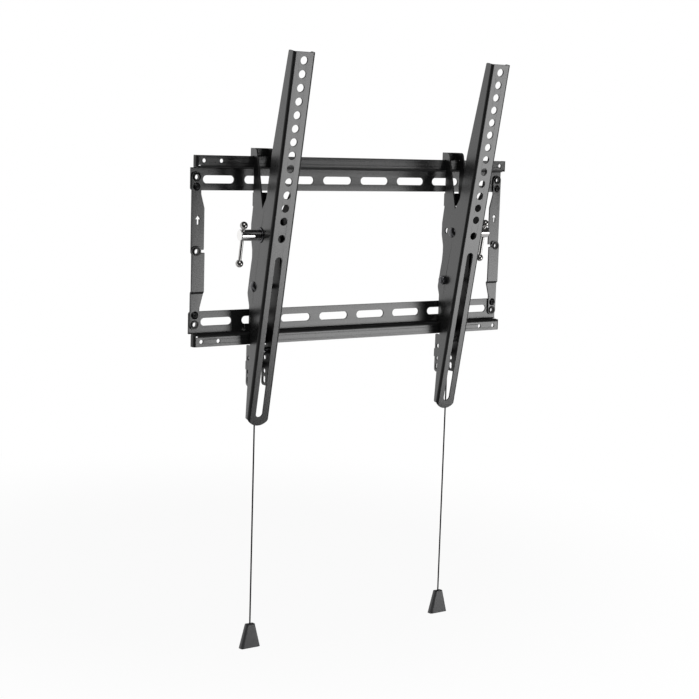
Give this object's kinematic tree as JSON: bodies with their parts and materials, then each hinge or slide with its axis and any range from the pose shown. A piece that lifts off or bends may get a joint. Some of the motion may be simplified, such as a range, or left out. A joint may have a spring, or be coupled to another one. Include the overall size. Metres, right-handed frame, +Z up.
{
  "type": "tilting tv wall mount",
  "caption": "Two-rail slotted wall plate with hook-on drilled arms that tilt about a pivot, clamp with chrome T-handles and unlatch by hanging pull cords.",
  "frame": {"origin": "on the wall face, at the centre of the wall plate's slot pattern", "axes": "+X along the rails to the right seen from the front, +Y into the wall, +Z up"},
  "size_m": [0.446, 0.099, 0.6982],
  "materials": {
    "coat": "satin black powder coat",
    "black_rivet": "black satin",
    "zinc": "black zinc plated",
    "chrome": "polished",
    "nylon": "black nylon",
    "cord": "black braided cord",
    "grip": "fine-grained black"
  },
  "bodies": {
    "wall_plate": {"top_rail": "coat", "bottom_rail": "coat", "left_upper_link": "coat", "left_lower_link": "coat", "right_upper_link": "coat", "right_lower_link": "coat", "rail_rivets": "black_rivet", "link_eyelets": "black_rivet"},
    "left_hook": {"left_hook_bracket": "coat", "left_latch_pin": "zinc", "left_latch_sleeves": "nylon"},
    "left_arm": {"left_screen_arm": "coat", "left_friction_washers": "nylon", "left_pivot_bolt": "zinc", "left_pivot_nut": "zinc", "left_clamp_bolt": "zinc", "left_clamp_washer": "zinc"},
    "left_handle": {"left_clamp_barrel": "chrome"},
    "left_bar": {"left_clamp_bar": "chrome"},
    "left_latch": {"left_latch_lever": "zinc", "left_latch_spring": "zinc", "left_cord_pin": "zinc"},
    "left_cord": {"left_cord_loop": "cord", "left_pull_cord": "cord", "left_cord_grip": "grip", "left_cord_knot": "cord"},
    "right_hook": {"right_hook_bracket": "coat", "right_latch_pin": "zinc", "right_latch_sleeves": "nylon"},
    "right_arm": {"right_screen_arm": "coat", "right_friction_washers": "nylon", "right_pivot_bolt": "zinc", "right_pivot_nut": "zinc", "right_clamp_bolt": "zinc", "right_clamp_washer": "zinc"},
    "right_handle": {"right_clamp_barrel": "chrome"},
    "right_bar": {"right_clamp_bar": "chrome"},
    "right_latch": {"right_latch_lever": "zinc", "right_latch_spring": "zinc", "right_cord_pin": "zinc"},
    "right_cord": {"right_cord_loop": "cord", "right_pull_cord": "cord", "right_cord_grip": "grip", "right_cord_knot": "cord"}
  },
  "joints": [
    {"name": "left_hook_slide", "type": "slide", "parent": "wall_plate", "child": "left_hook", "axis": [-1, 0, 0], "range_m": [-0.1102, 0.0708]},
    {"name": "left_tilt", "type": "hinge", "parent": "left_hook", "child": "left_arm", "pos_m": [-0.1372, -0.0225, -0.04], "axis": [-1, 0, 0], "range_deg": [0, 14]},
    {"name": "left_clamp_turn", "type": "hinge", "parent": "left_arm", "child": "left_handle", "pos_m": [-0.1372, -0.03414, 0.01988], "axis": [-1, 0, 0], "range_deg": [0, 180]},
    {"name": "left_bar_slide", "type": "slide", "parent": "left_handle", "child": "left_bar", "axis": [0, -0.1908, 0.9816], "range_m": [0, 0.0217]},
    {"name": "left_latch_turn", "type": "hinge", "parent": "left_hook", "child": "left_latch", "pos_m": [-0.1372, -0.022, -0.1151], "axis": [-1, 0, 0], "range_deg": [0, 30], "stiffness_Nm_per_rad": 0.05, "springref_deg": -22.92},
    {"name": "left_cord_hang", "type": "hinge", "parent": "left_latch", "child": "left_cord", "pos_m": [-0.1402, -0.0127, -0.1126], "axis": [-1, 0, 0], "range_deg": [-30, 0]},
    {"name": "right_hook_slide", "type": "slide", "parent": "wall_plate", "child": "right_hook", "axis": [1, 0, 0], "range_m": [-0.1102, 0.0708]},
    {"name": "right_tilt", "type": "hinge", "parent": "right_hook", "child": "right_arm", "pos_m": [0.1372, -0.0225, -0.04], "axis": [-1, 0, 0], "range_deg": [0, 14]},
    {"name": "right_clamp_turn", "type": "hinge", "parent": "right_arm", "child": "right_handle", "pos_m": [0.1372, -0.03414, 0.01988], "axis": [-1, 0, 0], "range_deg": [0, 180]},
    {"name": "right_bar_slide", "type": "slide", "parent": "right_handle", "child": "right_bar", "axis": [0, -0.1908, 0.9816], "range_m": [0, 0.0217]},
    {"name": "right_latch_turn", "type": "hinge", "parent": "right_hook", "child": "right_latch", "pos_m": [0.1372, -0.022, -0.1151], "axis": [-1, 0, 0], "range_deg": [0, 30], "stiffness_Nm_per_rad": 0.05, "springref_deg": -22.92},
    {"name": "right_cord_hang", "type": "hinge", "parent": "right_latch", "child": "right_cord", "pos_m": [0.1402, -0.0127, -0.1126], "axis": [-1, 0, 0], "range_deg": [-30, 0]}
  ],
  "couplings": [
    {"joint": "left_cord_hang", "follows": "left_latch_turn", "ratio": -1},
    {"joint": "right_cord_hang", "follows": "right_latch_turn", "ratio": -1}
  ]
}
